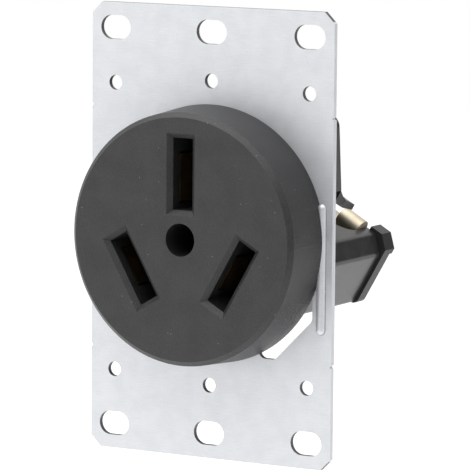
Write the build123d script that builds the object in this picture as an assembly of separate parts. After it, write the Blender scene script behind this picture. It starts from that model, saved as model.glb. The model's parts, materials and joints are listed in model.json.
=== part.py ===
from build123d import *
from math import sqrt
import os

# Flush-mounted three-slot dryer and range receptacle.
# Frame, in millimetres: X right as seen from the room, Y into the wall, Z up.
# The origin is on the front face of the strap, on the axis of the round face.
# Each of the three terminals is modelled once along local X (outward from the
# axis), with local Z across it, and is then turned about Y to its place.

# Mounting strap: zinc-plated sheet steel
STRAP_HEIGHT = 93.8
STRAP_SHEET = 1.1
STRAP_SIDE_WEB = 4.5
STRAP_CORNER = 2.3
BOX_SCREW_SPACING = 83.34
GANG_SCREW_SPACING = 46.04
BOX_SLOT_LENGTH = 7.2
BOX_SLOT_WIDTH = 5.0
PLATE_SCREW_SPACING = 60.33
CENTRE_PLATE_SCREW_SPACING = 63.2
PLATE_SCREW_HOLE = 3.1
COINED_EDGE_LENGTH = 50.8
COINED_EDGE_CHAMFER = 0.5
COINED_EDGE_GROWTH = 0.1
EDGE_NICK = 0.4
OPENING_MARGIN = 1.13
LOBE_REACH = 28.6
LOBE_SIDE = 24.9
LOBE_TIP_WIDTH = 3.2
LOBE_CORNER_RADIUS = 1.6
BEAD_OFFSET = 26.2
BEAD_TOP = 8.0
BEAD_BOTTOM = -19.0
BEAD_WIDTH = 2.2
BEAD_RISE = 0.8
BEAD_CLEARANCE = 0.12

# Round face cap: moulded cup over the front of the body
CAP_BASE_RADIUS = 26.8
CAP_RIM_RADIUS = 26.07
CAP_DEPTH = 12.2
CAP_BEVEL = 1.0
CAP_WALL = 2.7
CAP_FRONT_WALL = 3.0
CAP_KEY_WIDTH = 3.0
CAP_KEY_HEIGHT = 1.2
CAP_POST_WALL = 1.0
SCREW_WELL = 6.8
SCREW_SEAT_DEPTH = 0.5
SCREW_SEAT_FLOOR = 1.5

# Blade slots: one radial for the neutral, two across for the lines
SLOT_CENTRE = 13.4
NEUTRAL_SLOT = (14.8, 4.6)
LINE_SLOT = (4.4, 14.8)
SLOT_LEAD_IN = 1.0

# Terminal angles about the axis, counter-clockwise from X seen from the room
TERMINAL_ANGLES = {"neutral": 90, "line_left": 210, "line_right": 330}

# Rear body: moulded housing behind the strap
BODY_CLEARANCE = 0.3
BLOCK_TOP_HALF_WIDTH = 24.4
BLOCK_LOW_HALF_WIDTH = 25.1
BLOCK_TOP = 25.5
BLOCK_BOTTOM = 9.6
BLOCK_DEPTH = 10.6
BLOCK_CORNER = 3.0
BLOCK_REAR_CHAMFER = 0.4
BASE_RADIUS = 20.5
FOOT_HALF_WIDTH = 7.5
FOOT_BOTTOM = -26.4
FOOT_DEPTH = 3.4
FOOT_CORNER = 2.0
TOWER_OUTER = 22.4
TOWER_LOW_SIDE = -6.9
TOWER_HIGH_SIDE = 9.0
TOWER_HIGH_CHAMFER = 3.3
TOWER_CHAMFER_ROUND = 1.4
TOWER_LOW_ROUND = 0.9
TOWER_DEPTH = 32.6
HUB_RADIUS = 6.4
BARRIER_INNER = 13.2
BARRIER_SIDE = 14.5
BARRIER_WALL_SPAN = (-1.0, 11.0)
BARRIER_DEPTH = 24.7
GUSSET_START = 5.5
GUSSET_FOOT = (16.9, 18.2, 20.8)
GUSSET_BENDS = ((14.0, 16.4, 16.4, 18.6), (18.0, 15.7, 14.9, 16.8))
GUSSET_TIP_REACH = 15.2

# Contacts: one folded brass strip each, with a steel spring around it
CONTACT_SHEET = 1.1
CONTACT_BASE_DEPTH = 12.2
CONTACT_BASE_GAP = 3.6
CONTACT_PINCH_GAP = 2.3
CONTACT_MOUTH_GAP = 4.6
CONTACT_PINCH_DEPTH = -2.5
CONTACT_MOUTH_DEPTH = -8.2
CONTACT_BEND_SHARE = 0.6
LINE_CONTACT_SPAN = (-5.2, 2.9)
NEUTRAL_CONTACT_SPAN = (7.4, 17.3)
BLADE_REACH_DEPTH = 9.5
TAIL_WIDTH = 4.2
SPRING_SHEET = 0.7
SPRING_GAP = 0.06
SPRING_PINCH_DEPTH = -1.0
SPRING_END_DEPTH = -4.5
SPRING_FLARE = 0.5
LINE_SPRING_SPAN = (-5.0, 1.4)
NEUTRAL_SPRING_SPAN = (7.8, 12.6)
CHAMBER_CLEARANCE = 0.35

# Terminal lugs: open brass boxes with a rounded ridge, wire from the side
LUG_INNER = 7.0
LUG_OUTER = 17.0
LUG_BOTTOM = -0.6
LUG_TOP = 6.9
LUG_RECESS = 0.1
LUG_FRONT_PLATE = 1.5
LUG_WEB = 1.5
LUG_REAR_PLATE = 4.66
LUG_REAR_TOP = 8.0
WIRE_GAP = 5.0
RIDGE_INNER = 11.7
RIDGE_AXIS_SIDE = 8.45
LUG_SCREW_DIAMETER = 6.35
LUG_SCREW_LENGTH = 6.2
LUG_SCREW_BACKOFF = 0.3
LUG_SCREW_REACH = 11.9
LUG_SCREW_SIDE = 3.9
LUG_SCREW_SLOT = (1.2, 1.3)
LUG_SCREW_POINT = 0.4
LUG_CLEARANCE = 0.15
WIRE_NOTCH_REACH = 11.7
WIRE_NOTCH_RADIUS = 5.4
WIRE_NOTCH_DEPTH = 28.1

# Rivets that fasten each contact's foot to its lug
RIVET_REACH = 15.3
RIVET_SIDE = 5.2
RIVET_SHANK = 2.4
RIVET_HEAD = 3.4
RIVET_HEAD_HEIGHT = 1.1

# Rear cover: three-armed moulding over the towers, with a raised pad each
COVER_THICKNESS = 3.5
COVER_OVERHANG = 0.7
COVER_CORNER = 2.5
COVER_LOW_ROUND = 1.4
COVER_PAD_SIDE = 5.9
COVER_PAD_HEIGHT = 1.0
COVER_SLOT_REACH = 17.7
COVER_SLOT_SIDE = 0.2
COVER_HUB = 7.6
COVER_EDGE = 0.4

# Fasteners
ASSEMBLY_SCREW = 4.0
ASSEMBLY_SCREW_HEAD = (6.2, 2.4)
ASSEMBLY_SCREW_LENGTH = 22.0
WASHER = (6.4, 0.8)
NUT = (7.0, 3.2)
NUT_DEPTH = 16.0
NUT_CORNER = 0.5
COVER_SCREW = 2.9
COVER_SCREW_HEAD = (5.2, 1.9)
COVER_SCREW_LENGTH = 11.0
COVER_SCREW_REACH = 20.0
COVER_SCREW_SIDE = 2.4
SCREW_FIT = 0.2
DRIVE_SLOT = (0.9, 1.1)


# Helpers
def front_view(depth):
    """Sketch plane seen from the room, at a depth behind the strap face."""
    return Plane((0, depth, 0), x_dir=(1, 0, 0), z_dir=(0, -1, 0))


def slab(outline, near, far):
    """A front-view outline made solid between two depths."""
    return extrude(front_view(far) * outline, far - near)


def block(x_range, y_range, z_range):
    """A box between three pairs of coordinates."""
    low = (x_range[0], y_range[0], z_range[0])
    size = (x_range[1] - x_range[0], y_range[1] - y_range[0], z_range[1] - z_range[0])
    return Pos(*low) * Box(*size, align=(Align.MIN, Align.MIN, Align.MIN))


def along_y(radius, near, far, x=0, z=0):
    """A cylinder along the depth between two depths."""
    return slab(Pos(x, z) * Circle(radius), near, far)


def along_z(radius, low, high, x, y):
    """A cylinder along local Z between two sides."""
    return Pos(x, y, low) * Cylinder(radius, high - low, align=(Align.CENTER, Align.CENTER, Align.MIN))


def turned(piece, angle):
    """A piece modelled along local X, turned about the axis to its terminal."""
    return Rot(0, -angle, 0) * piece


def rectangle(x_range, z_range):
    """A rectangle between two pairs of front-view coordinates."""
    middle = Pos((x_range[0] + x_range[1]) / 2, (z_range[0] + z_range[1]) / 2)
    return middle * Rectangle(x_range[1] - x_range[0], z_range[1] - z_range[0])


# Depths and widths that follow from the driving sizes
front_face = -CAP_DEPTH
cap_back_of_front = front_face + CAP_FRONT_WALL
cap_cavity_base = CAP_BASE_RADIUS - CAP_WALL
cap_cavity_front = CAP_RIM_RADIUS - CAP_WALL
boss_radius = cap_cavity_front - BODY_CLEARANCE
opening_radius = boss_radius + OPENING_MARGIN
strap_back = STRAP_SHEET
half_width = opening_radius + STRAP_SIDE_WEB
bead_low = BEAD_BOTTOM + BEAD_WIDTH / 2
bead_high = BEAD_TOP - BEAD_WIDTH / 2
cover_back = TOWER_DEPTH + COVER_THICKNESS
base_gap_half = CONTACT_BASE_GAP / 2
contact_half = base_gap_half + CONTACT_SHEET
chamber_half = contact_half + SPRING_GAP + SPRING_SHEET + CHAMBER_CLEARANCE
base_plate_back = CONTACT_BASE_DEPTH + CONTACT_SHEET
lug_back = TOWER_DEPTH - LUG_RECESS
lug_rear_front = lug_back - LUG_REAR_PLATE
lug_plate_back = lug_rear_front - WIRE_GAP
lug_front = lug_plate_back - LUG_FRONT_PLATE
ridge_radius = LUG_REAR_PLATE / 2
ridge_depth = lug_back - ridge_radius
foot_front = lug_front - CONTACT_SHEET
post_radius = SCREW_WELL / 2 + CAP_POST_WALL
post_end = SCREW_SEAT_DEPTH + SCREW_SEAT_FLOOR
tail_inner = LUG_OUTER - TAIL_WIDTH
foot_side = RIVET_SIDE + RIVET_HEAD / 2
bend_depth = CONTACT_BASE_DEPTH * CONTACT_BEND_SHARE
cover_outer = TOWER_OUTER + COVER_OVERHANG
cover_high = TOWER_HIGH_SIDE + COVER_OVERHANG


# Mounting strap
def strap_blank():
    """Flat sheet with clipped corners and, beside the opening, coined edges."""
    outline = Rectangle(2 * half_width, STRAP_HEIGHT)
    outline = chamfer(outline.vertices(), STRAP_CORNER)
    blank = slab(outline, 0, STRAP_SHEET)
    edge = half_width + COINED_EDGE_GROWTH
    wide = slab(Rectangle(2 * edge, COINED_EDGE_LENGTH), 0, STRAP_SHEET)
    front_edges = wide.edges().filter_by(Axis.Z).group_by(Axis.Y)[0]
    blank += chamfer(front_edges, COINED_EDGE_CHAMFER)
    for side in (-1, 1):
        for end in (-1, 1):
            blank -= along_y(EDGE_NICK, 0, STRAP_SHEET, side * edge, end * COINED_EDGE_LENGTH / 2)
    return blank


def strap_opening():
    """Round opening with two clipped corner lobes at the bottom."""
    opening = Circle(opening_radius)
    corner = LOBE_REACH * sqrt(2)
    for side in (-1, 1):
        points = [
            (0, 0),
            (side * opening_radius, 0),
            (side * opening_radius, opening_radius - corner),
            (side * (corner - LOBE_SIDE), -LOBE_SIDE),
            (side * (corner - LOBE_SIDE - LOBE_TIP_WIDTH), -LOBE_SIDE),
        ]
        lobe = make_face(Polyline(*points, close=True))
        low_edge = lobe.vertices().sort_by(Axis.Y)[:2]
        side_corner = lobe.vertices().sort_by_distance(points[2])[0]
        opening += fillet([*low_edge, side_corner], LOBE_CORNER_RADIUS)
    return opening


def round_bar(radius, x, depth):
    """An upright bar with round ends, as long as the bead's centre line."""
    ends = Pos(x, depth, bead_low) * Sphere(radius) + Pos(x, depth, bead_high) * Sphere(radius)
    return along_z(radius, bead_low, bead_high, x, depth) + ends


def bead(side, growth=0):
    """Raised stiffening bead beside the opening, as it stands off the strap."""
    radius = (BEAD_WIDTH**2 / 4 + BEAD_RISE**2) / (2 * BEAD_RISE)
    x = side * BEAD_OFFSET
    ridge = round_bar(radius + growth, x, radius - BEAD_RISE)
    front = block((x - BEAD_WIDTH, x + BEAD_WIDTH), (-BEAD_RISE - growth, 0), (2 * BEAD_BOTTOM, 2 * BEAD_TOP))
    return ridge & front


def bead_groove(side):
    """The hollow that pressing the bead leaves in the back of the strap."""
    return along_z(BEAD_RISE, bead_low, bead_high, side * BEAD_OFFSET, STRAP_SHEET)


def mounting_strap():
    """The whole strap: blank, opening, screw slots, tapped holes, beads."""
    strap = strap_blank()
    holes = strap_opening()
    for x in (-GANG_SCREW_SPACING / 2, 0, GANG_SCREW_SPACING / 2):
        for end in (-1, 1):
            slot = SlotOverall(BOX_SLOT_LENGTH, BOX_SLOT_WIDTH)
            holes += Pos(x, end * BOX_SCREW_SPACING / 2) * slot
            spacing = CENTRE_PLATE_SCREW_SPACING if x == 0 else PLATE_SCREW_SPACING
            holes += Pos(x, end * spacing / 2) * Circle(PLATE_SCREW_HOLE / 2)
    strap -= slab(holes, -BEAD_RISE, STRAP_SHEET)
    for side in (-1, 1):
        strap = strap + bead(side) - bead_groove(side)
    return strap


# Slots and chambers
def slot_size(name):
    """Slot size outward and across, for one terminal."""
    return NEUTRAL_SLOT if name == "neutral" else LINE_SLOT


def blade_slot(name):
    """The slot through the cap's front wall, with its sloped lead-in."""
    outward, across = slot_size(name)
    centre = Pos(SLOT_CENTRE, 0)
    throat = slab(centre * Rectangle(outward, across), front_face, cap_back_of_front)
    mouth = centre * Rectangle(outward + 2 * SLOT_LEAD_IN, across + 2 * SLOT_LEAD_IN)
    neck = centre * Rectangle(outward, across)
    outer = front_view(front_face) * mouth
    inner = front_view(front_face + SLOT_LEAD_IN) * neck
    return throat + loft([outer, inner], ruled=True)


# Face cap
def face_cap():
    """Cup with a bevelled rim, three slots, a screw well and two keys."""
    profile = Polyline(
        (0, front_face),
        (CAP_RIM_RADIUS - CAP_BEVEL, front_face),
        (CAP_RIM_RADIUS, front_face + CAP_BEVEL),
        (CAP_BASE_RADIUS, 0),
        (cap_cavity_base, 0),
        (cap_cavity_front, cap_back_of_front),
        (0, cap_back_of_front),
        close=True,
    )
    cap = revolve(make_face(profile), Axis.Y)
    cap += along_y(post_radius, cap_back_of_front, post_end)
    for side in (-1, 1):
        inner = cap_cavity_front - CAP_KEY_HEIGHT
        x_range = sorted((side * inner, side * (cap_cavity_front + CAP_WALL / 2)))
        half_key = CAP_KEY_WIDTH / 2
        cap += block(x_range, (cap_back_of_front, 0), (-half_key, half_key))
        cap -= bead(side, BEAD_CLEARANCE)
    cap -= along_y(SCREW_WELL / 2, front_face, SCREW_SEAT_DEPTH)
    cap -= along_y(ASSEMBLY_SCREW / 2 + SCREW_FIT, SCREW_SEAT_DEPTH, post_end)
    for name, angle in TERMINAL_ANGLES.items():
        cap -= turned(blade_slot(name), angle)
    return cap


# Rear body
def tower_outline():
    """Front-view outline of one tower, along local X."""
    points = [
        (0, TOWER_LOW_SIDE),
        (TOWER_OUTER, TOWER_LOW_SIDE),
        (TOWER_OUTER, TOWER_HIGH_SIDE - TOWER_HIGH_CHAMFER),
        (TOWER_OUTER - TOWER_HIGH_CHAMFER, TOWER_HIGH_SIDE),
        (0, TOWER_HIGH_SIDE),
    ]
    outline = make_face(Polyline(*points, close=True))
    for corner, radius in ((1, TOWER_LOW_ROUND), (2, TOWER_CHAMFER_ROUND), (3, TOWER_CHAMFER_ROUND)):
        vertex = outline.vertices().sort_by_distance(points[corner])[0]
        outline = fillet(vertex, radius)
    return outline


def barrier():
    """Wall beside the wiring bay and the curved gusset that carries its end."""
    wall = slab(rectangle(BARRIER_WALL_SPAN, (BARRIER_INNER, BARRIER_SIDE)), strap_back, BARRIER_DEPTH)
    sections = [
        (BLOCK_DEPTH - BLOCK_REAR_CHAMFER, *GUSSET_FOOT),
        *GUSSET_BENDS,
        (BARRIER_DEPTH, GUSSET_TIP_REACH, BARRIER_INNER, BARRIER_SIDE),
    ]
    outlines = []
    for depth, reach, low, high in sections:
        outlines.append(front_view(depth) * rectangle((GUSSET_START, reach), (low, high)))
    return wall + loft(outlines, ruled=True)


def contact_chamber(name):
    """Room for one contact and its spring, open to the rear."""
    if name == "neutral":
        x_range = (NEUTRAL_CONTACT_SPAN[0] - CHAMBER_CLEARANCE, NEUTRAL_CONTACT_SPAN[1] + CHAMBER_CLEARANCE)
        z_range = (-chamber_half, chamber_half)
    else:
        x_range = (SLOT_CENTRE - chamber_half, SLOT_CENTRE + chamber_half)
        z_range = (LINE_CONTACT_SPAN[0] - CHAMBER_CLEARANCE, LINE_CONTACT_SPAN[1] + CHAMBER_CLEARANCE)
    room = slab(rectangle(x_range, z_range), CONTACT_MOUTH_DEPTH - CHAMBER_CLEARANCE, TOWER_DEPTH)
    outward, across = slot_size(name)
    blade = Pos(SLOT_CENTRE, 0) * Rectangle(outward + BODY_CLEARANCE, across + BODY_CLEARANCE)
    return room + slab(blade, cap_back_of_front, BLADE_REACH_DEPTH)


def wiring_bay():
    """Pocket for one lug, with a round-ended notch that lets the wire in."""
    gap = LUG_CLEARANCE
    pocket = block(
        (LUG_INNER - gap, LUG_OUTER + gap),
        (lug_front - gap, TOWER_DEPTH),
        (LUG_BOTTOM - gap, LUG_TOP + gap),
    )
    foot_room = block(
        (tail_inner - 2 * gap, LUG_OUTER + gap),
        (foot_front - RIVET_HEAD_HEIGHT - gap, lug_front),
        (base_gap_half - gap, foot_side + gap),
    )
    notch = along_z(WIRE_NOTCH_RADIUS, LUG_TOP, BARRIER_INNER, WIRE_NOTCH_REACH, WIRE_NOTCH_DEPTH)
    mouth = block(
        (WIRE_NOTCH_REACH - WIRE_NOTCH_RADIUS, WIRE_NOTCH_REACH + WIRE_NOTCH_RADIUS),
        (WIRE_NOTCH_DEPTH, TOWER_DEPTH),
        (LUG_TOP, BARRIER_INNER),
    )
    return pocket + foot_room + notch + mouth


def base_block():
    """Block behind the strap's upper half, the round base and the low foot."""
    points = [
        (-BLOCK_LOW_HALF_WIDTH, BLOCK_BOTTOM),
        (BLOCK_LOW_HALF_WIDTH, BLOCK_BOTTOM),
        (BLOCK_TOP_HALF_WIDTH, BLOCK_TOP),
        (-BLOCK_TOP_HALF_WIDTH, BLOCK_TOP),
    ]
    upper = make_face(Polyline(*points, close=True))
    top_corners = upper.vertices().sort_by(Axis.Y)[-2:]
    upper = slab(fillet(top_corners, BLOCK_CORNER), strap_back, BLOCK_DEPTH)
    rear_edges = upper.edges().group_by(Axis.Y)[-1]
    upper = chamfer(rear_edges, BLOCK_REAR_CHAMFER)
    foot = rectangle((-FOOT_HALF_WIDTH, FOOT_HALF_WIDTH), (FOOT_BOTTOM, 0))
    foot = fillet(foot.vertices().sort_by(Axis.Y)[:2], FOOT_CORNER)
    return upper + along_y(BASE_RADIUS, strap_back, BLOCK_DEPTH) + slab(foot, strap_back, FOOT_DEPTH)


def rear_body():
    """Housing with a front boss, base block, three towers, bays and barriers."""
    boss = along_y(boss_radius, cap_back_of_front, strap_back)
    key_inner = cap_cavity_front - CAP_KEY_HEIGHT - BODY_CLEARANCE
    key_half = CAP_KEY_WIDTH / 2 + BODY_CLEARANCE
    for side in (-1, 1):
        x_range = sorted((side * key_inner, side * CAP_RIM_RADIUS))
        boss -= block(x_range, (cap_back_of_front, strap_back), (-key_half, key_half))
    body = boss + base_block()
    tower = slab(tower_outline(), strap_back, TOWER_DEPTH)
    for angle in TERMINAL_ANGLES.values():
        body += turned(tower, angle)
    for angle in TERMINAL_ANGLES.values():
        body += turned(barrier(), angle)
    for angle in TERMINAL_ANGLES.values():
        body -= turned(wiring_bay(), angle)
    body += along_y(HUB_RADIUS, strap_back, TOWER_DEPTH)
    body -= along_y(post_radius + BODY_CLEARANCE / 2, cap_back_of_front, post_end + BODY_CLEARANCE)
    body -= along_y(ASSEMBLY_SCREW / 2 + SCREW_FIT, post_end, TOWER_DEPTH)
    nut_room = Rectangle(NUT[0] + SCREW_FIT, NUT[0] + SCREW_FIT)
    body -= slab(nut_room, NUT_DEPTH, TOWER_DEPTH)
    for name, angle in TERMINAL_ANGLES.items():
        body -= turned(contact_chamber(name), angle)
        pilot = along_y(
            COVER_SCREW / 2,
            cover_back - COVER_SCREW_LENGTH - SCREW_FIT,
            TOWER_DEPTH,
            COVER_SCREW_REACH,
            COVER_SCREW_SIDE,
        )
        body -= turned(pilot, angle)
    return body


# Rear cover
def cover_arm():
    """One arm of the cover over its tower, cut back beside the lug."""
    points = [
        (0, TOWER_LOW_SIDE),
        (cover_outer, TOWER_LOW_SIDE),
        (cover_outer, cover_high - COVER_CORNER),
        (cover_outer - COVER_CORNER, cover_high),
        (COVER_SLOT_REACH, cover_high),
        (COVER_SLOT_REACH, COVER_SLOT_SIDE),
        (0, COVER_SLOT_SIDE),
    ]
    arm = make_face(Polyline(*points, close=True))
    low_corner = arm.vertices().sort_by_distance(points[1])[0]
    return fillet(low_corner, COVER_LOW_ROUND)


def cover_pad():
    """Raised pad at the high end of one arm."""
    above = rectangle((COVER_SLOT_REACH, cover_outer), (COVER_PAD_SIDE, cover_high))
    return cover_arm() & above


def rear_cover():
    """Three-armed cover with raised pads, a chamfered edge and screw holes."""
    outline = Circle(COVER_HUB)
    for angle in TERMINAL_ANGLES.values():
        outline += Rot(0, 0, angle) * cover_arm()
    cover = slab(outline, TOWER_DEPTH, cover_back)
    back = cover.faces().sort_by(Axis.Y)[-1]
    cover = chamfer(back.edges(), COVER_EDGE)
    pad = slab(cover_pad(), TOWER_DEPTH, cover_back + COVER_PAD_HEIGHT)
    top = pad.faces().sort_by(Axis.Y)[-1]
    pad = chamfer(top.edges(), COVER_EDGE)
    hole = along_y(COVER_SCREW / 2 + SCREW_FIT, TOWER_DEPTH, cover_back, COVER_SCREW_REACH, COVER_SCREW_SIDE)
    for angle in TERMINAL_ANGLES.values():
        cover = cover + turned(pad, angle) - turned(hole, angle)
    return cover


# Contacts and springs
def leaf_face(half_offsets, depths, sheet, side):
    """Section of one leaf: a bent line given the sheet's thickness."""
    inner = [(side * offset, depth) for offset, depth in zip(half_offsets, depths)]
    outer = [(side * (offset + sheet), depth) for offset, depth in zip(half_offsets, depths)]
    return make_face(Polyline(*inner, *reversed(outer), close=True))


def folded_strip(half_offsets, depths, sheet, span):
    """Two facing leaves joined by a flat base, in the blade's own frame."""
    base_start = depths[-1]
    half = half_offsets[-1] + sheet
    section = leaf_face(half_offsets, depths, sheet, 1) + leaf_face(half_offsets, depths, sheet, -1)
    base = Pos(0, base_start + sheet / 2) * Rectangle(2 * half, sheet)
    solid = extrude(section + base, span[1] - span[0])
    return Pos(0, 0, span[0]) * solid


def across_blade(strip):
    """Lays a folded strip round a blade that stands across the radius."""
    return Pos(SLOT_CENTRE, 0, 0) * strip


def along_blade(strip):
    """Lays a folded strip round a blade that stands along the radius."""
    return Rot(0, 90, 0) * strip


def contact_leaves():
    """Leaf offsets from the blade plane and their depths, mouth to base."""
    offsets = [CONTACT_MOUTH_GAP / 2, CONTACT_PINCH_GAP / 2, base_gap_half, base_gap_half]
    depths = [CONTACT_MOUTH_DEPTH, CONTACT_PINCH_DEPTH, bend_depth, CONTACT_BASE_DEPTH]
    return offsets, depths


def tail():
    """Strip from the contact's base back to a foot against the lug."""
    x_range = (tail_inner, LUG_OUTER)
    run = block(x_range, (CONTACT_BASE_DEPTH, lug_front), (base_gap_half, contact_half))
    foot = block(x_range, (foot_front, lug_front), (base_gap_half, foot_side))
    hole = along_y(RIVET_SHANK / 2, foot_front, lug_front, RIVET_REACH, RIVET_SIDE)
    return run + foot - hole


def contact(name):
    """One folded contact with its tail."""
    offsets, depths = contact_leaves()
    if name == "neutral":
        strip = folded_strip(offsets, depths, CONTACT_SHEET, NEUTRAL_CONTACT_SPAN)
        return along_blade(strip) + tail()
    strip = folded_strip(offsets, depths, CONTACT_SHEET, LINE_CONTACT_SPAN)
    return across_blade(strip) + tail()


def spring_leaves():
    """Offsets and depths of the spring's arms, outside the contact's leaves."""
    clear = CONTACT_SHEET + SPRING_GAP
    base = base_gap_half + clear
    pinch = CONTACT_PINCH_GAP / 2 + clear
    offsets = [pinch + SPRING_FLARE, pinch + SPRING_SHEET / 4, base, base]
    depths = [SPRING_END_DEPTH, SPRING_PINCH_DEPTH, bend_depth, base_plate_back + SPRING_GAP]
    return offsets, depths


def contact_spring(name):
    """Steel spring folded round the contact, which keeps its leaves pressed."""
    offsets, depths = spring_leaves()
    if name == "neutral":
        strip = folded_strip(offsets, depths, SPRING_SHEET, NEUTRAL_SPRING_SPAN)
        return along_blade(strip)
    return across_blade(folded_strip(offsets, depths, SPRING_SHEET, LINE_SPRING_SPAN))


# Terminal lugs, their screws and rivets
def terminal_lug():
    """Brass lug: front plate, web and thick rear plate with a rounded ridge."""
    across = (LUG_INNER, LUG_OUTER)
    sides = (LUG_BOTTOM, LUG_TOP)
    lug = block(across, (lug_front, lug_plate_back), sides)
    lug += block((LUG_INNER, LUG_INNER + LUG_WEB), (lug_front, lug_back), sides)
    lug += block(across, (lug_rear_front, lug_back), (LUG_BOTTOM, LUG_REAR_TOP))
    ridge_length = LUG_OUTER - RIDGE_INNER
    ridge_middle = (LUG_OUTER + RIDGE_INNER) / 2
    lug += block((RIDGE_INNER, LUG_OUTER), (lug_rear_front, lug_back), (LUG_BOTTOM, RIDGE_AXIS_SIDE))
    round_top = Cylinder(ridge_radius, ridge_length, rotation=(0, 90, 0))
    lug += Pos(ridge_middle, ridge_depth, RIDGE_AXIS_SIDE) * round_top
    lug -= along_y(LUG_SCREW_DIAMETER / 2, lug_rear_front, lug_back, LUG_SCREW_REACH, LUG_SCREW_SIDE)
    lug -= along_y(RIVET_SHANK / 2, lug_front, lug_plate_back, RIVET_REACH, RIVET_SIDE)
    return lug


def terminal_screw():
    """Slotted set screw through the rear plate, backed off clear of the wire."""
    tip = lug_rear_front + LUG_SCREW_BACKOFF
    end = tip + LUG_SCREW_LENGTH
    radius = LUG_SCREW_DIAMETER / 2
    screw = along_y(radius, tip, end, LUG_SCREW_REACH, LUG_SCREW_SIDE)
    rims = screw.edges().filter_by(GeomType.CIRCLE)
    screw = chamfer(rims, LUG_SCREW_POINT)
    width, depth = LUG_SCREW_SLOT
    slot = block(
        (LUG_SCREW_REACH - radius, LUG_SCREW_REACH + radius),
        (end - depth, end),
        (LUG_SCREW_SIDE - width / 2, LUG_SCREW_SIDE + width / 2),
    )
    return screw - slot


def lug_rivet():
    """Rivet through the contact's foot and the lug's front plate."""
    shank = along_y(RIVET_SHANK / 2, foot_front, lug_plate_back, RIVET_REACH, RIVET_SIDE)
    head = along_y(RIVET_HEAD / 2, foot_front - RIVET_HEAD_HEIGHT, foot_front, RIVET_REACH, RIVET_SIDE)
    rim = head.edges().filter_by(GeomType.CIRCLE).sort_by(Axis.Y)[0]
    return shank + chamfer(rim, RIVET_HEAD_HEIGHT / 2)


# Assembly and cover fasteners
def headed_screw(shank, head, length, seat, direction):
    """Slotted pan-head screw along the depth, its head against the seat."""
    head_diameter, head_height = head
    width, depth = DRIVE_SLOT
    top = seat - direction * head_height
    body = along_y(head_diameter / 2, min(seat, top), max(seat, top))
    rim = body.edges().filter_by(GeomType.CIRCLE).sort_by(Axis.Y)
    body = chamfer(rim[0 if direction > 0 else -1], head_height / 3)
    tip = seat + direction * length
    body += along_y(shank / 2, min(seat, tip), max(seat, tip))
    slot_depths = sorted((top, top + direction * depth))
    half = head_diameter / 2
    return body - block((-half, half), slot_depths, (-width / 2, width / 2))


def assembly_screw():
    """Long screw through the cap and body that clamps both on the strap."""
    seat = SCREW_SEAT_DEPTH - WASHER[1]
    return headed_screw(ASSEMBLY_SCREW, ASSEMBLY_SCREW_HEAD, ASSEMBLY_SCREW_LENGTH, seat, 1)


def screw_washer():
    """Plain washer at the bottom of the screw well."""
    outer, height = WASHER
    ring = along_y(outer / 2, SCREW_SEAT_DEPTH - height, SCREW_SEAT_DEPTH)
    return ring - along_y(ASSEMBLY_SCREW / 2, SCREW_SEAT_DEPTH - height, SCREW_SEAT_DEPTH)


def assembly_nut():
    """Square nut held from turning in the body's hub."""
    across, height = NUT
    nut = slab(Rectangle(across, across), NUT_DEPTH, NUT_DEPTH + height)
    upright = nut.edges().filter_by(Axis.Y)
    nut = chamfer(upright, NUT_CORNER)
    return nut - along_y(ASSEMBLY_SCREW / 2, NUT_DEPTH, NUT_DEPTH + height)


def cover_screw():
    """Screw that holds one arm of the rear cover on its tower."""
    screw = headed_screw(COVER_SCREW, COVER_SCREW_HEAD, COVER_SCREW_LENGTH, cover_back, -1)
    return Pos(COVER_SCREW_REACH, 0, COVER_SCREW_SIDE) * screw


def build():
    """All sub-parts by name."""
    parts = {
        "mounting_strap": mounting_strap(),
        "face_cap": face_cap(),
        "rear_body": rear_body(),
        "rear_cover": rear_cover(),
        "assembly_screw": assembly_screw(),
        "screw_washer": screw_washer(),
        "assembly_nut": assembly_nut(),
    }
    for name, angle in TERMINAL_ANGLES.items():
        parts["contact_" + name] = turned(contact(name), angle)
        parts["contact_spring_" + name] = turned(contact_spring(name), angle)
        parts["terminal_lug_" + name] = turned(terminal_lug(), angle)
        parts["terminal_screw_" + name] = turned(terminal_screw(), angle)
        parts["lug_rivet_" + name] = turned(lug_rivet(), angle)
        parts["cover_screw_" + name] = turned(cover_screw(), angle)
    return parts


if __name__ == "__main__":
    os.makedirs("parts", exist_ok=True)
    for node, piece in build().items():
        export_step(piece, "parts/" + node + ".step")
        print(node, round(piece.volume, 1))
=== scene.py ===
# %% [markdown]
# A three-slot power receptacle, seen from the front and the right.
# The shapes come from the CAD model, so this lesson is about looks: a camera that was
# measured, soft studio light, and ten finishes made of shader nodes with no image files.

# %% Load the shapes
import json
import math

import bpy
from mathutils import Matrix, Vector


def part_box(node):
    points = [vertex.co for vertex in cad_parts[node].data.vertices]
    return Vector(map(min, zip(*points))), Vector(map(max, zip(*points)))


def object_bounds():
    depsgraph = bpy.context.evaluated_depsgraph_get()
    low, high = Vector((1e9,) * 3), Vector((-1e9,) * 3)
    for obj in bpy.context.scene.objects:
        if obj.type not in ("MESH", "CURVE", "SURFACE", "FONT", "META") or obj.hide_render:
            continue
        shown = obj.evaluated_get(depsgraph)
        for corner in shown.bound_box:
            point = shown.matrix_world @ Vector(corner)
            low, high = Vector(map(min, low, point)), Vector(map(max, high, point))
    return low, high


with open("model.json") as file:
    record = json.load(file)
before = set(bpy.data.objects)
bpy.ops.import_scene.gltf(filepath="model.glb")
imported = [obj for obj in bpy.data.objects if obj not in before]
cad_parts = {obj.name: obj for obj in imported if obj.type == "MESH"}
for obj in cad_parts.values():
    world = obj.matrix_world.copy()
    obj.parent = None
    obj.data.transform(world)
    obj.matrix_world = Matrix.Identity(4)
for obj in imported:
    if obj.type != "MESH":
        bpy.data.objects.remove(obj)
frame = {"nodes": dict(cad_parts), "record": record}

scene = bpy.context.scene
nodes = frame["nodes"]
box_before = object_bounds()
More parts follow.
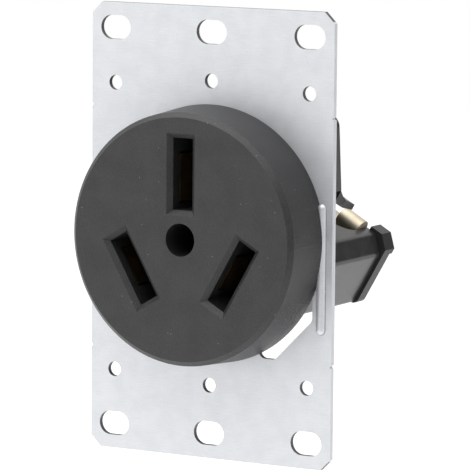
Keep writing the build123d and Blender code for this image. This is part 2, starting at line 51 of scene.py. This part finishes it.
print(len(nodes), "pieces, lowest and highest corner in metres:", box_before)

# %% [markdown]
# The photograph was taken with a long lens, from 30 degrees to the right and 7 degrees above.
# Those angles were found from twelve holes of the strap, whose spacings are standard.
# A camera looks along its own -Z, so the three columns of its matrix are written directly:
# right, up, and the direction back towards the photographer.
# A small roll turns right and up about the line of sight.
# Euler angles could aim the camera too, but a column can be read as a direction.

# %% Camera
VIEW_AZIMUTH = math.radians(30.007)
VIEW_ELEVATION = math.radians(7.263)
VIEW_ROLL = math.radians(0.462)
VIEW_DISTANCE = 0.839441
VIEW_SHIFT = (0.005102, -0.000234)
LENS = 311.97
SENSOR_WIDTH = 36

back = Vector((
    math.sin(VIEW_AZIMUTH) * math.cos(VIEW_ELEVATION),
    -math.cos(VIEW_AZIMUTH) * math.cos(VIEW_ELEVATION),
    math.sin(VIEW_ELEVATION),
))
level = Vector((math.cos(VIEW_AZIMUTH), math.sin(VIEW_AZIMUTH), 0))
upright = back.cross(level)
right = level * math.cos(VIEW_ROLL) + upright * math.sin(VIEW_ROLL)
up = upright * math.cos(VIEW_ROLL) - level * math.sin(VIEW_ROLL)
position = right * VIEW_SHIFT[0] + up * VIEW_SHIFT[1] + back * VIEW_DISTANCE

camera_data = bpy.data.cameras.new("camera")
camera_data.sensor_width = SENSOR_WIDTH
camera_data.lens = LENS
camera_data.clip_start = 0.01
camera_data.clip_end = 20
camera = bpy.data.objects.new("camera", camera_data)
camera.matrix_world = Matrix.Translation(position) @ Matrix((right, up, back)).transposed().to_4x4()
scene.collection.objects.link(camera)
scene.camera = camera
print("camera at", [round(v, 4) for v in position], "metres, lens", LENS, "mm")

# %% [markdown]
# Shader nodes are arithmetic on sockets, so a small class lets Python write that arithmetic.
# It wraps one output socket. Adding or multiplying two of them makes a Math node and
# returns its output, wrapped again. The reflected forms let a number stand on the left,
# as in 1 - mask. Every other node comes from the method node: its type, its settings,
# then the values or links of its inputs.
# Each node could be made and linked by hand, but an expression is easier to read.

# %% Shader arithmetic
class Socket:
    """An output of a shader node, ready for Python arithmetic."""

    def __init__(self, tree, output):
        self.tree = tree
        self.output = output

    def node(self, kind, settings, values, output=0):
        """A new node with its settings and inputs, and one of its outputs, wrapped."""
        made = self.tree.nodes.new(kind)
        for name, value in settings.items():
            setattr(made, name, value)
        for name, value in values.items():
            feed(self.tree, made.inputs[name], value)
        return Socket(self.tree, made.outputs[output])

    def math(self, operation, first, second):
        """A Math node on two values."""
        return self.node("ShaderNodeMath", {"operation": operation}, {0: first, 1: second})

    def __add__(self, other):
        return self.math("ADD", self, other)

    def __radd__(self, other):
        return self.math("ADD", other, self)

    def __sub__(self, other):
        return self.math("SUBTRACT", self, other)

    def __rsub__(self, other):
        return self.math("SUBTRACT", other, self)

    def __mul__(self, other):
        return self.math("MULTIPLY", self, other)

    def __rmul__(self, other):
        return self.math("MULTIPLY", other, self)

    def stretched(self, x, y, z):
        """A position scaled along each axis, which draws a texture out into grain."""
        return self.node("ShaderNodeVectorMath", {"operation": "MULTIPLY"}, {0: self, 1: (x, y, z)})

    def along(self, axis):
        """One coordinate of a position or direction."""
        return self.node("ShaderNodeSeparateXYZ", {}, {0: self}, axis)

    def size(self):
        """The value without its sign."""
        return self.math("ABSOLUTE", self, 0.0)

    def noise(self, scale, detail=2.0):
        """Soft random values from 0 to 1, with scale features to the metre."""
        values = {"Vector": self, "Scale": scale, "Detail": detail}
        return self.node("ShaderNodeTexNoise", {}, values, "Fac")

    def cells(self, scale):
        """The distance to the nearest of scattered points, scale to the metre."""
        return self.node("ShaderNodeTexVoronoi", {}, {"Vector": self, "Scale": scale}, "Distance")

    def ramp(self, low, high):
        """0 below low, 1 above high, and a smooth step between them."""
        values = {"Value": self, "From Min": low, "From Max": high}
        return self.node("ShaderNodeMapRange", {"interpolation_type": "SMOOTHSTEP"}, values)

    def mixed(self, first, second):
        """The first colour where this mask is 0 and the second where it is 1."""
        return self.node("ShaderNodeMix", {"data_type": "RGBA"}, {0: self, 6: first, 7: second}, 2)

    def between(self, first, second):
        """The same for two plain colours, written as red, green and blue."""
        return self.mixed((*first, 1), (*second, 1))

    def bump(self, depth):
        """A surface normal for this height, whose full range is depth in metres."""
        return self.node("ShaderNodeBump", {}, {"Height": self, "Distance": depth, "Strength": 1.0})


def feed(tree, target, value):
    """Links a wrapped socket to an input, or sets a plain value on it."""
    if isinstance(value, Socket):
        tree.links.new(value.output, target)
    else:
        target.default_value = value


def paint(slot, look):
    """Builds the material of one slot and puts it on every piece that has that slot."""
    material = bpy.data.materials.new("finish_" + slot)
    material.use_nodes = True
    tree = material.node_tree
    shader = tree.nodes["Principled BSDF"]
    place = Socket(tree, tree.nodes.new("ShaderNodeTexCoord").outputs["Object"])
    for name, value in look(place).items():
        feed(tree, shader.inputs[name], value)
    users = [part["node"] for part in frame["record"]["subparts"] if part["material_slot"] == slot]
    for user in users:
        mesh = nodes[user].data
        mesh.materials.clear()
        mesh.materials.append(material)
    print(slot, "on", len(users), "pieces,", len(tree.nodes), "shader nodes")


# %% [markdown]
# The strap is sheet steel with bright zinc plate. Rolling leaves a fine grain along
# the sheet, so one noise is drawn out sideways: the position is scaled down along X.
# The zinc adds crystals a quarter of a millimetre wide, the same in every direction,
# and a cloudy change of tone a few millimetres wide. Each is weak: together they vary
# the brightness by about one part in a hundred, as measured on the photograph.
# A punch leaves the walls of the holes torn and dark. The normal finds them: it points
# along the sheet there, so its Y is near zero. The same mask also darkens the steep foot
# and flank of the bead beside the cap, and that part is painted shade. The strap's left
# and right sides were trimmed clean, so a limit on X leaves them out.
# An image could be wrapped round the strap, but that needs unwrapping, and a seam or a
# repeat can show. Noise on Object coordinates runs through the solid instead.

# %% Zinc plate
# Dark colour of the torn hole walls, also used as painted shade on the bead's steep foot.
TORN_STEEL_AND_PAINTED_SHADE = (0.1, 0.1, 0.105, 1)
STRAP_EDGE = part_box("mounting_strap")[1][0]
TORN_AND_SHADE_LIMIT = STRAP_EDGE - 0.0006
TRIMMED_FROM = STRAP_EDGE - 0.0003


def zinc_look(place):
    grain = place.stretched(0.06, 1, 1).noise(5200, 3.0)
    crystals = place.noise(3600, 3.0)
    cloud = place.noise(260, 4.0)
    tone = 0.3 * grain.ramp(0.3, 0.7) + 0.35 * crystals.ramp(0.3, 0.7) + 0.35 * cloud.ramp(0.3, 0.7)
    plate = tone.between((0.55, 0.565, 0.59), (0.66, 0.67, 0.69))
    facing = place.node("ShaderNodeTexCoord", {}, {}, "Normal").along("Y").size()
    inside = 1 - place.along("X").size().ramp(TORN_AND_SHADE_LIMIT, TRIMMED_FROM)
    # This mask darkens the torn hole walls and also paints shade on the steep foot of the bead.
    torn_and_painted_shade = (1 - facing.ramp(0.3, 0.6)) * inside * crystals.ramp(0.2, 0.4)
    return {
        "Base Color": torn_and_painted_shade.mixed(plate, TORN_STEEL_AND_PAINTED_SHADE),
        "Metallic": 0.55,
        "Roughness": 0.4 + 0.1 * cloud + 0.2 * torn_and_painted_shade,
        "Normal": (grain + crystals).bump(0.0000025),
    }


paint("zinc_strap", zinc_look)

# %% [markdown]
# The face is a thermoset moulding whose mould was spark-textured, so it is matt.
# Small round pits a quarter of a millimetre apart give that texture, and a noise just as
# fine speckles its black. A wider noise makes the sheen uneven where the material flowed.
# A few specks of pale dust lie on it: the points of a cell pattern, kept only where
# another noise is high. The pits could be modelled, but there would be tens of thousands
# of them, so they are a bump, which adds no faces.

# %% Matt cap
DUST_GREY = (0.2, 0.2, 0.2, 1)


def cap_look(place):
    pits = place.cells(3600)
    flow = place.noise(180, 3.0)
    speckle = place.noise(4200, 3.0)
    tone = 0.35 * flow.ramp(0.3, 0.7) + 0.55 * speckle.ramp(0.35, 0.75)
    dust = (1 - place.cells(620).ramp(0.05, 0.09)) * place.noise(260).ramp(0.5, 0.56)
    black = tone.between((0.01, 0.01, 0.0105), (0.03, 0.03, 0.0305))
    return {
        "Base Color": (0.7 * dust).mixed(black, DUST_GREY),
        "Roughness": 0.38 + 0.1 * flow,
        "Specular IOR Level": 0.45,
        "Normal": (pits + speckle).bump(0.00005),
    }


paint("cap_plastic", cap_look)

# %% [markdown]
# The housing behind the strap has a smoother mould, so it shows clear but soft
# reflections. A polished moulding is never quite flat: a long, very low wave bends the
# reflection a little, fine dust-sized pores stop it from looking like glass, and a haze
# about a millimetre wide varies the gloss.
# The rear cover is a moulding of its own. One finish could serve for both, but a duller
# one with a faint grain of short fibres shows that they are two pieces.

# %% Satin housing
def housing_look(place):
    wave = place.noise(220, 1.0)
    pores = 1 - place.cells(4200).ramp(0.04, 0.2)
    haze = place.noise(700, 4.0)
    return {
        "Base Color": haze.ramp(0.3, 0.7).between((0.019, 0.019, 0.02), (0.026, 0.026, 0.028)),
        "Roughness": 0.24 + 0.12 * haze,
        "Normal": (wave + 0.04 * pores).bump(0.00003),
    }


paint("body_plastic", housing_look)


def cover_look(place):
    wave = place.noise(300, 1.0)
    fibres = place.stretched(1, 1, 0.15).noise(6500, 3.0)
    return {
        "Base Color": fibres.ramp(0.3, 0.7).between((0.012, 0.012, 0.0125), (0.02, 0.02, 0.021)),
        "Roughness": 0.36 + 0.1 * fibres,
        "Specular IOR Level": 0.35,
        "Normal": (wave + 0.08 * fibres).bump(0.00003),
    }


paint("cover_plastic", cover_look)

# %% [markdown]
# Three parts are brass, each worked in another way. The lugs are machined bar, bright and
# pale, with fine tool lines. The contacts are rolled strip, which has a grain along
# the strip and has gone brown, as brass does. The rivets are cold headed.
# One brass could serve for all three, but each way of working marks metal differently:
# lugs and contacts get a grain in their own direction, and rivets get small dents.

# %% Brass parts
def lug_look(place):
    lines = place.stretched(0.2, 1, 1).noise(4500, 2.0)
    stain = place.noise(420, 3.0)
    return {
        "Base Color": stain.ramp(0.35, 0.75).between((0.5, 0.46, 0.37), (0.44, 0.38, 0.28)),
        "Metallic": 1.0,
        "Roughness": 0.44 + 0.14 * lines,
        "Normal": lines.bump(0.000003),
    }


def strip_look(place):
    grain = place.stretched(1, 0.05, 1).noise(6000, 3.0)
    stain = place.noise(300, 4.0)
    return {
        "Base Color": stain.ramp(0.3, 0.7).between((0.16, 0.11, 0.055), (0.1, 0.07, 0.035)),
        "Metallic": 1.0,
        "Roughness": 0.38 + 0.14 * grain,
        "Normal": grain.bump(0.000004),
    }


def rivet_look(place):
    dents = place.cells(2600)
    return {
        "Base Color": dents.ramp(0.1, 0.6).between((0.74, 0.56, 0.28), (0.82, 0.65, 0.36)),
        "Metallic": 1.0,
        "Roughness": 0.4 + 0.1 * dents,
        "Normal": dents.bump(0.00001),
    }


paint("lug_brass", lug_look)
paint("contact_brass", strip_look)
paint("rivet_brass", rivet_look)

# %% [markdown]
# Steel comes in three finishes. Tempered spring strip is grey with a straw tint.
# The small screws, the washer and the nut are zinc plated. The long screw in the middle
# is black oxide, a thin matt coat that lets a little metal through.
# A thread could be modelled as a helix, but its turns are under a millimetre apart, so a
# sine of the depth along Y draws it as rings, in a bump that adds no faces.

# %% Steel parts
THREAD_PITCH = 0.00079


def threads(place):
    """Height 0 to 1 of a thread along Y: (1 + sin(2 pi y / pitch)) / 2."""
    turns = place.along("Y") * (2 * math.pi / THREAD_PITCH)
    return 0.5 + 0.5 * turns.math("SINE", turns, 0.0)


def spring_look(place):
    grain = place.stretched(1, 0.05, 1).noise(7000, 3.0)
    tint = place.noise(350, 3.0)
    return {
        "Base Color": tint.ramp(0.3, 0.7).between((0.4, 0.4, 0.41), (0.5, 0.46, 0.38)),
        "Metallic": 1.0,
        "Roughness": 0.28 + 0.14 * grain,
        "Normal": grain.bump(0.000003),
    }


def screw_look(place):
    cloud = place.noise(900, 3.0)
    return {
        "Base Color": cloud.ramp(0.3, 0.7).between((0.66, 0.67, 0.69), (0.76, 0.77, 0.78)),
        "Metallic": 1.0,
        "Roughness": 0.28 + 0.16 * cloud,
        "Normal": (threads(place) + 0.1 * cloud).bump(0.00006),
    }


def oxide_look(place):
    worn = place.noise(1500, 4.0).ramp(0.62, 0.8)
    return {
        "Base Color": worn.between((0.03, 0.03, 0.032), (0.09, 0.09, 0.095)),
        "Metallic": 0.8,
        "Roughness": 0.5 - 0.12 * worn,
        "Normal": worn.bump(0.000004),
    }


paint("spring_steel", spring_look)
paint("screw_steel", screw_look)
paint("dark_steel", oxide_look)

# %% [markdown]
# The photograph has a white background and no visible ground. A wide pale floor lies well
# below the object, far enough that its soft shadow falls outside the picture.
# Lit by the lamps alone it would be grey, so it also glows a little: light and glow
# together reach white, and a shadow still takes the lamps' share away.
# A board is four corners and one face between them, and the cards further on are boards too.

# %% Floor
FLOOR_DROP = 0.25
FLOOR_HALF = 3.0
FLOOR_GLOW = 0.5
floor_height = box_before[0][2] - FLOOR_DROP


def lying(x_range, y_range, height):
    """The corners of a board that lies flat."""
    (left, right), (near, far) = x_range, y_range
    return [(left, near, height), (right, near, height), (right, far, height), (left, far, height)]


def board(name, corners, material):
    """A flat object of one face through four corners."""
    mesh = bpy.data.meshes.new(name)
    mesh.from_pydata(corners, [], [(0, 1, 2, 3)])
    mesh.materials.append(material)
    made = bpy.data.objects.new(name, mesh)
    scene.collection.objects.link(made)
    return made


floor_material = bpy.data.materials.new("floor")
floor_material.use_nodes = True
floor_shader = floor_material.node_tree.nodes["Principled BSDF"]
floor_shader.inputs["Base Color"].default_value = (0.86, 0.86, 0.86, 1)
floor_shader.inputs["Roughness"].default_value = 0.9
floor_shader.inputs["Emission Color"].default_value = (1, 1, 1, 1)
floor_shader.inputs["Emission Strength"].default_value = FLOOR_GLOW
floor_span = (-FLOOR_HALF, FLOOR_HALF)
floor = board("floor", lying(floor_span, floor_span, floor_height), floor_material)
print("floor at", round(floor_height, 3), "metres")

# %% [markdown]
# The room is the world shader. What the camera and the reflections see is plain white,
# which gives the background and the bright metal. What falls on matt surfaces is weaker,
# so that the lamps shape them. Light Path tells the two apart: its outputs are 1 for the
# rays named, and their sum is the factor between the two backgrounds.

# %% Room
SEEN_STRENGTH = 1.0
FILL_STRENGTH = 0.55
world = bpy.data.worlds.new("room")
world.use_nodes = True
scene.world = world
sky = world.node_tree
sky.nodes.clear()
path = sky.nodes.new("ShaderNodeLightPath")
seen = Socket(sky, path.outputs["Is Camera Ray"])
seen = seen + Socket(sky, path.outputs["Is Glossy Ray"])
seen = seen + Socket(sky, path.outputs["Is Transmission Ray"])
fill = seen.node("ShaderNodeBackground", {}, {"Color": (1, 1, 1, 1), "Strength": FILL_STRENGTH})
white = seen.node("ShaderNodeBackground", {}, {"Color": (1, 1, 1, 1), "Strength": SEEN_STRENGTH})
mixed = seen.node("ShaderNodeMixShader", {}, {0: seen, 1: fill, 2: white})
output = sky.nodes.new("ShaderNodeOutputWorld")
sky.links.new(mixed.output, output.inputs["Surface"])
print("world with", len(sky.nodes), "nodes")

# %% [markdown]
# Two soft boxes shape the object. The key hangs almost straight above, so the top of
# the cap is brighter than its side. It is very large, because brass mirrors a lamp, and a
# small bright lamp would burn a white spot into it. A weaker box stands at the left.
# An area lamp shines along its own -Z, so that axis is turned to point at the object.

# %% Lamps
def soft_box(name, place, size, power):
    """A rectangular lamp aimed at the origin, size in metres and power in watts."""
    lamp = bpy.data.lights.new(name, "AREA")
    lamp.shape = "RECTANGLE"
    lamp.size, lamp.size_y = size
    lamp.energy = power
    holder = bpy.data.objects.new(name, lamp)
    holder.location = place
    holder.rotation_euler = (-Vector(place)).to_track_quat("-Z", "Y").to_euler()
    scene.collection.objects.link(holder)
    print(name, power, "watts at", place)


soft_box("key", (-0.05, -0.14, 1.05), (2.0, 1.6), 21.0)
soft_box("left", (-1.0, -0.7, 0.2), (0.6, 0.9), 2.0)

# %% [markdown]
# In a white room a glossy black housing reflects white and looks grey. Photographers
# stand black cards where such a face looks, and this scene does the same. A ray traced
# from the camera to each pale face and off it told where its card has to be: upright
# behind the object, upright in front at the right, and flat just above the floor behind.
# The cards show in reflections only. They are hidden from the camera and from matt
# surfaces, and cast no shadow, so other views stay clean.

# %% Black cards
LOW_CARD_HEIGHT = -0.29

card_material = bpy.data.materials.new("black_card")
card_material.use_nodes = True
card_shader = card_material.node_tree.nodes["Principled BSDF"]
card_shader.inputs["Base Color"].default_value = (0.01, 0.01, 0.01, 1)
card_shader.inputs["Roughness"].default_value = 0.8


def standing(start, end, low, high):
    """The corners of a board that stands on a line, between two heights."""
    return [(*start, low), (*end, low), (*end, high), (*start, high)]


def black_card(name, corners):
    """A black board seen by glossy reflections alone."""
    card = board(name, corners, card_material)
    card.visible_camera = False
    card.visible_diffuse = False
    card.visible_shadow = False
    print(name, "from", corners[0], "to", corners[2])


black_card("card_behind", standing((0.08, 1.19), (1.02, 0.61), -0.02, 0.3))
black_card("card_in_front", standing((0.02, -1.62), (1.55, -0.5), -0.28, 0.62))
black_card("card_below", lying((-0.35, 0.3), (0.66, 1.3), LOW_CARD_HEIGHT))

# %% [markdown]
# The colours are to come out as they were written, so the view transform is Standard.

# %% Finish
scene.view_settings.view_transform = "Standard"
